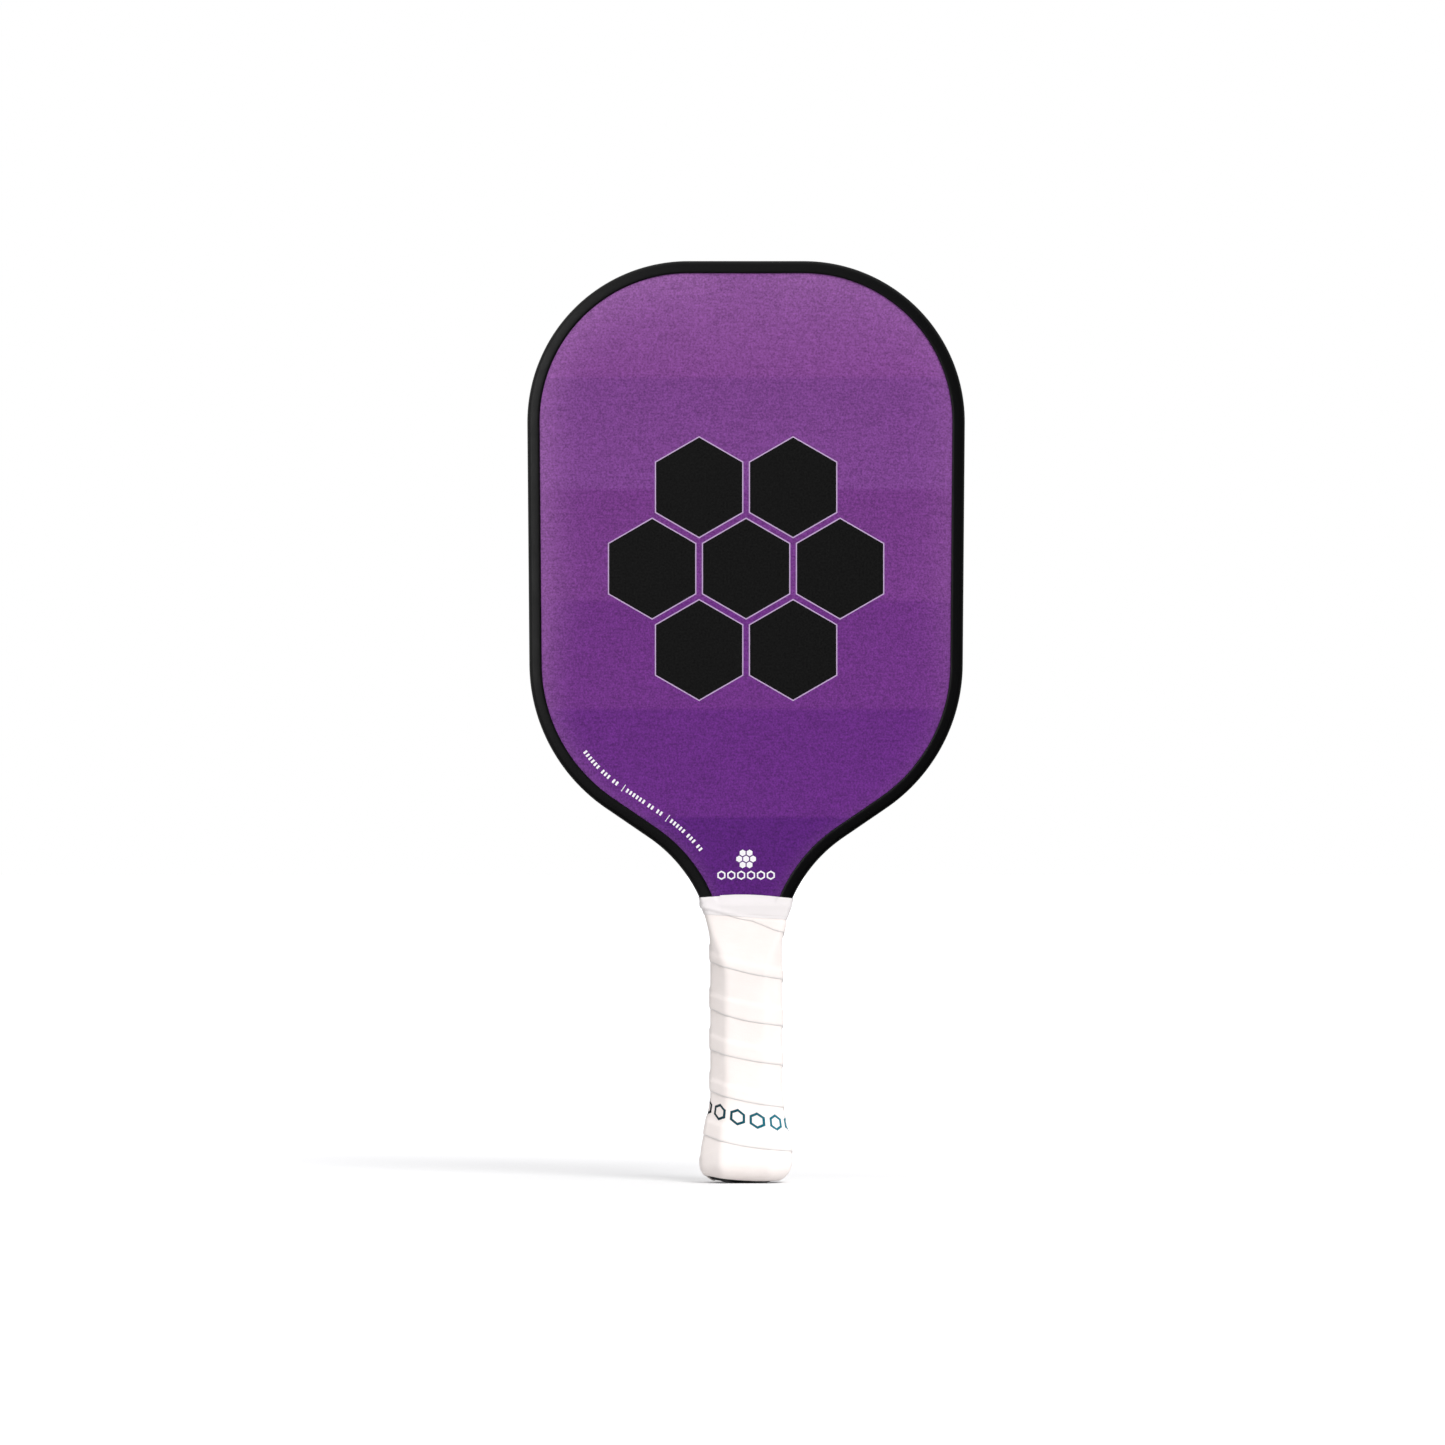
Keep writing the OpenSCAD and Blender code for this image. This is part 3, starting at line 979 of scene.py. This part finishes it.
def new_material(name, specular=0.5):
    """A material, with its node tree and shader."""
    material = bpy.data.materials.new(name)
    material.use_nodes = True
    shader = material.node_tree.nodes["Principled BSDF"]
    shader.inputs["Specular IOR Level"].default_value = specular
    return material, material.node_tree, shader


def grained(name, light, dark, size, roughness, depth, specular=0.5, metallic=0.0, stretch=(1, 1, 1)):
    """A material that wanders between two colours, with matching roughness and relief."""
    material, tree, shader = new_material(name, specular)
    grain = noise(tree, size, 4.0, stretch)
    plug(tree, shader.inputs["Base Color"], blended(tree, grain, dark, light))
    rough = ranged(tree, grain, 0.3, 0.7, roughness + 0.08, roughness - 0.08)
    plug(tree, shader.inputs["Roughness"], rough)
    shader.inputs["Metallic"].default_value = metallic
    bumped(tree, shader, grain, depth)
    return material


# ------------------------ materials

# The studio light brightens a colour facing the camera so much, and adds so much sheen
FACE_LIGHT = 1.27
FACE_SHEEN = 0.003


def printed(red, green, blue):
    """The paint that ends up as a screen colour under the studio light."""
    wanted = srgb(red, green, blue)[:3]
    return (*[max(0.001, (c - FACE_SHEEN) / FACE_LIGHT) for c in wanted], 1)


BAND_EDGES = [161, 209, 257, 306, 355.3]
BAND_COLOURS = [
    (93, 37, 125), (104, 45, 131), (110, 51, 132), (116, 58, 134), (121, 66, 139), (127, 69, 141),
]
# Each band is this much lighter at its lower edge than in its middle, and darker at its upper edge
BAND_FADE = (1.2, 0.7, 1.7)
BAND_SOFTNESS = 0.35
TOP_COLOUR = (136, 83, 149)
# Colour of a painted sheen: the light's reflection along the face's rim, next to the guard
RIM_SHEEN_COLOUR = (156, 103, 168)
# Heights in metres between which the painted sheen on the rim grows from its throat's to its full strength
RIM_SHEEN_HEIGHTS = (0.17, 0.25)


def faded(colour, way):
    """A band's colour at its lower edge, where way is 1, or its upper, where it is -1."""
    return tuple(c + way * fade for c, fade in zip(colour, BAND_FADE))


def band_ramp(tree):
    """The face's six purple bands, each a step lighter than the one below."""
    height = add(tree, "SeparateXYZ", {0: place(tree)}).outputs[2]
    along = ranged(tree, height, 0.0, PADDLE_LENGTH * MM)
    ramp = add(tree, "ValToRGB", {0: along})
    stops = ramp.color_ramp.elements
    places = [(0, BAND_COLOURS[0])]
    for edge, below, above in zip(BAND_EDGES, BAND_COLOURS, BAND_COLOURS[1:]):
        places.append((edge - BAND_SOFTNESS, faded(below, -1)))
        places.append((edge + BAND_SOFTNESS, faded(above, 1)))
    places.append((PADDLE_LENGTH, TOP_COLOUR))
    for i, (z, colour) in enumerate(places):
        stop = stops[i] if i < 2 else stops.new(1)
        stop.position = z / PADDLE_LENGTH
        stop.color = printed(*colour)
    return ramp.outputs[0]


def painted_rim_sheen(tree):
    """How far a painted sheen pales the print towards the guard: most on the left, and least at the
    throat.
    """
    rim = add(tree, "Attribute", attribute_name="rim").outputs["Fac"]
    spot = add(tree, "SeparateXYZ", {0: place(tree)}).outputs
    reach = ranged(tree, spot[2], *RIM_SHEEN_HEIGHTS, 14.0, 32.0)
    glow = math_node(tree, "POWER", ranged(tree, rim, 5.0, reach, 1.0, 0.0), 2.6)
    sideways = ranged(tree, spot[0], -0.05, 0.05, 0.6, 0.28)
    share = math_node(tree, "MULTIPLY", sideways, ranged(tree, spot[2], *RIM_SHEEN_HEIGHTS, 0.4, 1.0))
    return math_node(tree, "MULTIPLY", glow, share)


def printed_face_material():
    """Matt purple film: six bands, a painted sheen that pales its rim, and a fine grain with a faint weave
    across it.
    """
    material, tree, shader = new_material("printed_face", 0.12)
    # The paler rim is painted sheen laid over the print
    base = blended(tree, painted_rim_sheen(tree), band_ramp(tree), printed(*RIM_SHEEN_COLOUR))
    grain = noise(tree, 0.75, 3.0)
    weave = noise(tree, 0.9, 1.0, (14, 1, 1))
    cloud = noise(tree, 26, 2.0)
    specks = math_node(tree, "ADD", ranged(tree, grain, 0.25, 0.75, -0.38, 0.38),
                       ranged(tree, weave, 0.25, 0.75, -0.09, 0.09))
    level = math_node(tree, "ADD", specks, ranged(tree, cloud, 0.3, 0.7, 0.988, 1.012))
    plug(tree, shader.inputs["Base Color"], scaled(tree, base, level))
    plug(tree, shader.inputs["Roughness"], ranged(tree, grain, 0.3, 0.7, 0.62, 0.5))
    bumped(tree, shader, grain, 0.06, 0.5)
    return material


def ink_material(name, colour, spread):
    """Matt ink of one colour, which the film's grain lightens and darkens."""
    material, tree, shader = new_material(name, 0.15)
    grain = noise(tree, 0.8, 3.0)
    level = ranged(tree, grain, 0.25, 0.75, 1 - spread, 1 + spread)
    plug(tree, shader.inputs["Base Color"], scaled(tree, colour[:3], level))
    plug(tree, shader.inputs["Roughness"], ranged(tree, grain, 0.3, 0.7, 0.6, 0.5))
    bumped(tree, shader, grain, 0.05, 0.5)
    return material


def guard_material():
    """Satin black moulding with a fine spark texture and long faint flow marks."""
    material, tree, shader = new_material("guard_plastic", 0.4)
    grain = noise(tree, 0.35, 3.0)
    flow = noise(tree, 9, 3.0)
    colour = blended(tree, flow, srgb(1, 1, 2), srgb(5, 5, 6))
    plug(tree, shader.inputs["Base Color"], colour)
    plug(tree, shader.inputs["Roughness"], ranged(tree, flow, 0.3, 0.7, 0.58, 0.5))
    bumped(tree, shader, grain, 0.03, 0.6)
    return material


OVERGRIP_SHADE = (0.92, 0.845, 0.815, 1)
OVERGRIP_LIGHT = (0.955, 0.885, 0.86, 1)
# Grey painted along each strip's edges: the shade that falls at the step of each seam
OVERGRIP_SEAM_SHADE = (0.58, 0.6, 0.62, 1)


def overgrip_material():
    """Soft white polyurethane: fine pores and faint creases, with painted shade along its edges at the
    seams, painted light near the butt and painted shade near the neck.
    """
    material, tree, shader = new_material("overgrip_white", 0.3)
    margin = add(tree, "Attribute", attribute_name="margin").outputs["Fac"]
    pores = noise(tree, 0.45, 4.0)
    cloud = noise(tree, 11, 3.0)
    clean = blended(tree, ranged(tree, cloud, 0.3, 0.7), OVERGRIP_SHADE, OVERGRIP_LIGHT)
    # Painted shade along both edges of the strip, where one turn steps over another
    edge = ranged(tree, margin, 0.0, 0.04, 0.48, 0.0)
    seam_shaded = blended(tree, edge, clean, OVERGRIP_SEAM_SHADE)
    height = add(tree, "SeparateXYZ", {0: place(tree)}).outputs[2]
    # Painted light and shade by height: lighter near the butt, as if lit by the floor, darker towards the
    # neck, as if shaded by the head
    painted_height_shading = ranged(tree, height, 0.01, 0.11, 1.04, 0.88)
    plug(tree, shader.inputs["Base Color"], scaled(tree, seam_shaded, painted_height_shading))
    plug(tree, shader.inputs["Roughness"], ranged(tree, pores, 0.3, 0.7, 0.62, 0.5))
    creases = math_node(tree, "MULTIPLY", noise(tree, 3.5, 2.0, (2.2, 2.2, 0.8)), 1.8)
    bumped(tree, shader, math_node(tree, "ADD", pores, creases), 0.06, 0.7)
    shader.inputs["Sheen Weight"].default_value = 0.05
    return material


def tape_material():
    """Smooth white vinyl with a fine drawn grain round the grip."""
    material, tree, shader = new_material("tape_white", 0.4)
    drawn = noise(tree, 0.7, 2.0, (10, 10, 1))
    cloud = noise(tree, 7, 2.0)
    colour = blended(tree, cloud, (0.72, 0.685, 0.685, 1), (0.77, 0.73, 0.74, 1))
    plug(tree, shader.inputs["Base Color"], colour)
    plug(tree, shader.inputs["Roughness"], ranged(tree, drawn, 0.3, 0.7, 0.45, 0.34))
    bumped(tree, shader, drawn, 0.03, 0.5)
    return material


def glass_fibre_material():
    """Resin-bound glass cloth: two crossed runs of yarn."""
    material, tree, shader = new_material("glass_fibre_skin", 0.5)
    spread = add(tree, "Mapping", {"Vector": place(tree), "Scale": (450, 450, 450)})
    checks = add(tree, "TexChecker", {"Vector": spread.outputs[0], "Scale": 1.0})
    yarn = noise(tree, 0.5, 2.0, (4, 1, 1))
    colour = blended(tree, yarn, srgb(198, 190, 150), srgb(222, 216, 182))
    crossing = math_node(tree, "MULTIPLY", checks.outputs[1], 0.18)
    weave = blended(tree, crossing, colour, srgb(170, 162, 122))
    plug(tree, shader.inputs["Base Color"], weave)
    plug(tree, shader.inputs["Roughness"], ranged(tree, yarn, 0.3, 0.7, 0.4, 0.3))
    bumped(tree, shader, checks.outputs[1], 0.04, 0.5)
    return material


def perforated_foam_material():
    """Dark cushioned base grip with rows of small holes, each painted near black as the shade inside it.
    """
    material, tree, shader = new_material("base_grip_foam", 0.3)
    spread = add(tree, "Mapping", {"Vector": place(tree), "Scale": (260, 260, 260)})
    cells = add(tree, "TexVoronoi", {"Vector": spread.outputs[0], "Scale": 1.0, "Randomness": 0.1})
    hole_and_painted_shade = ranged(tree, cells.outputs["Distance"], 0.16, 0.22, 0.0, 1.0)
    grain = noise(tree, 0.5, 3.0)
    skin = blended(tree, grain, srgb(46, 46, 48), srgb(62, 62, 64))
    # The holes are painted near black: painted shade inside them
    plug(tree, shader.inputs["Base Color"], blended(tree, hole_and_painted_shade, srgb(14, 14, 15), skin))
    plug(tree, shader.inputs["Roughness"], ranged(tree, grain, 0.3, 0.7, 0.75, 0.62))
    bumped(tree, shader, hole_and_painted_shade, 0.25, 0.7)
    return material


def grip_print_painted_light_material():
    """Teal print on the overgrip, with painted light: darker towards its left, which lies in shade, and
    lighter towards its right, where the light falls.
    """
    material, tree, shader = new_material("overgrip_print", 0.3)
    side = add(tree, "SeparateXYZ", {0: place(tree)}).outputs[0]
    along = ranged(tree, side, -0.016, 0.016)
    grain = noise(tree, 0.5, 3.0)
    # Painted light: the teal is darkened on the left and lightened on the right, as the light falls across
    # the handle
    teal_painted_light = blended(tree, along, srgb(2, 22, 30), srgb(0, 118, 138))
    worn = ranged(tree, grain, 0.64, 0.78, 0.0, 0.2)
    plug(tree, shader.inputs["Base Color"], blended(tree, worn, teal_painted_light, srgb(120, 160, 162)))
    plug(tree, shader.inputs["Roughness"], ranged(tree, grain, 0.3, 0.7, 0.55, 0.42))
    bumped(tree, shader, grain, 0.03, 0.5)
    return material


def paint_hidden_nodes():
    """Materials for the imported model's own pieces inside the blade and the handle."""
    adhesive = grained("adhesive", srgb(226, 214, 160), srgb(206, 188, 128), 3, 0.35, 0.03)
    fibre = glass_fibre_material()
    foam = grained("pallet_foam", srgb(222, 205, 160), srgb(196, 176, 128), 1.1, 0.8, 0.15, 0.3)
    sticky = grained("pallet_tape", srgb(236, 232, 205), srgb(218, 210, 178), 2, 0.4, 0.03)
    finishes = {
        "honeycomb_core": grained("core_polymer", srgb(232, 234, 236), srgb(206, 210, 214), 4, 0.4, 0.05),
        "front_adhesive_film": adhesive,
        "rear_adhesive_film": adhesive,
        "front_skin": fibre,
        "rear_skin": fibre,
        "edge_seal_tape": grained("seal_tape", srgb(120, 122, 124), srgb(92, 94, 96), 2, 0.5, 0.05),
        "front_pallet": foam,
        "rear_pallet": foam,
        "front_pallet_tape": sticky,
        "rear_pallet_tape": sticky,
        "end_cap_staples": grained("staple_steel", srgb(206, 208, 210), srgb(160, 162, 166), 0.6, 0.3,
                                   0.01, 0.5, 1.0, (1, 1, 6)),
        "base_grip": perforated_foam_material(),
        "base_grip_tape": grained("base_tape", srgb(84, 84, 88), srgb(60, 60, 64), 1.5, 0.4, 0.03),
    }
    for name, material in finishes.items():
        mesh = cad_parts[name].data
        mesh.materials.clear()
        mesh.materials.append(material)


# ------------------------ studio

CAMERA_PLACE = Vector((-0.0104, -6, 0.2029))
CAMERA_FIELD = 0.6374
SENSOR = 36
FLOOR_REACH = 12


def make_camera():
    """A level camera in front of the paddle."""
    data = bpy.data.cameras.new("camera")
    data.sensor_width = SENSOR
    data.lens = SENSOR * -CAMERA_PLACE.y / CAMERA_FIELD
    data.clip_end = 50
    camera = bpy.data.objects.new("camera", data)
    camera.location = CAMERA_PLACE
    camera.rotation_euler = (math.pi / 2, 0, 0)
    bpy.context.scene.collection.objects.link(camera)
    bpy.context.scene.camera = camera


def make_floor():
    """A plain white floor, which glows a little to meet the white background."""
    material, tree, shader = new_material("studio_floor", 0.0)
    shader.inputs["Base Color"].default_value = (0.72, 0.72, 0.72, 1)
    shader.inputs["Roughness"].default_value = 0.9
    shader.inputs["Emission Color"].default_value = (0.97, 0.97, 1, 1)
    seen = add(tree, "LightPath").outputs["Is Camera Ray"]
    away = add(tree, "VectorMath", {0: place(tree)}, operation="LENGTH").outputs["Value"]
    glow = ranged(tree, away, 0.1, 0.9, 0.16, 0.7)
    plug(tree, shader.inputs["Emission Strength"], math_node(tree, "MULTIPLY", seen, glow))
    mesh = bpy.data.meshes.new("floor")
    corners = [(x * FLOOR_REACH, y * FLOOR_REACH, 0) for x, y in ((-1, -1), (1, -1), (1, 1), (-1, 1))]
    mesh.from_pydata(corners, [], [(0, 1, 2, 3)])
    mesh.materials.append(material)
    floor = bpy.data.objects.new("floor", mesh)
    floor.visible_glossy = False
    bpy.context.scene.collection.objects.link(floor)


def area_light(name, place_at, target, size, power, diffuse):
    """A round soft light that only lights the object, or only gleams on it."""
    data = bpy.data.lights.new(name, "AREA")
    data.shape = "DISK"
    data.size = size
    data.energy = power
    light = bpy.data.objects.new(name, data)
    light.location = place_at
    light.rotation_euler = (Vector(target) - Vector(place_at)).to_track_quat("-Z", "Y").to_euler()
    light.visible_diffuse = diffuse
    light.visible_glossy = not diffuse
    bpy.context.scene.collection.objects.link(light)


def room_light(tree, direction, bright_from, dimmest, brightest):
    """A background that is brightest in one direction and fades towards the other."""
    towards = Vector(bright_from).normalized()
    facing = add(tree, "VectorMath", {0: direction, 1: towards}, operation="DOT_PRODUCT").outputs["Value"]
    level = ranged(tree, facing, -0.35, 0.9, dimmest, brightest)
    return add(tree, "Background", {"Color": (1, 1, 1, 1), "Strength": level}).outputs[0]


def make_world():
    """A white background, a soft room that lights, and a dimmer one that is reflected."""
    world = bpy.data.worlds.new("studio")
    bpy.context.scene.world = world
    world.use_nodes = True
    tree = world.node_tree
    tree.nodes.clear()
    direction = add(tree, "TexCoord").outputs["Generated"]
    lighting = room_light(tree, direction, (0.35, 0, 1), 0.22, 1.1)
    mirrored_room = room_light(tree, direction, (-0.3, 0.7, 0.7), 0.004, 0.6)
    white = add(tree, "Background", {"Color": (1, 1, 1, 1), "Strength": 1.0}).outputs[0]
    path = add(tree, "LightPath").outputs
    indoors = add(tree, "MixShader", {0: path["Is Glossy Ray"], 1: lighting, 2: mirrored_room})
    both = add(tree, "MixShader", {0: path["Is Camera Ray"], 1: indoors.outputs[0], 2: white})
    add(tree, "OutputWorld", {0: both.outputs[0]})


def make_studio():
    """The world, the floor, a key light, and a light that only gleams on the left."""
    make_world()
    make_floor()
    area_light("key", (0.9, -1.9, 1.7), (0, 0, 0.2), 1.1, 40, diffuse=True)
    area_light("left_gleam", (-0.75, -0.85, 0.55), (0, 0, 0.3), 0.5, 5, diffuse=False)
    bpy.context.scene.view_settings.view_transform = "Standard"


# ------------------------ assembly

def make_paddle():
    """Every visible piece with its material, then the materials of the pieces inside."""
    face = printed_face_material()
    black = ink_material("print_black", printed(24, 24, 24), 0.8)
    lilac = ink_material("print_lilac", printed(194, 168, 207), 0.08)
    white = ink_material("print_white", printed(254, 251, 255), 0.03)
    for side in (-1, 1):
        make_printed_film(side, face)
        make_motif(side, black, lilac)
    make_edge_ticks(white)
    make_throat_mark(white)
    make_edge_guard(guard_material())
    make_overgrip(overgrip_material())
    make_grip_print(grip_print_painted_light_material())
    make_finishing_tape(tape_material())
    make_end_cap(grained("cap_rubber", srgb(30, 30, 31), srgb(20, 20, 21), 0.5, 0.6, 0.05, 0.4))
    make_badge(grained("badge_plastic", srgb(92, 93, 96), srgb(80, 81, 84), 0.6, 0.35, 0.02, 0.5))
    paint_hidden_nodes()


make_camera()
make_paddle()
make_studio()
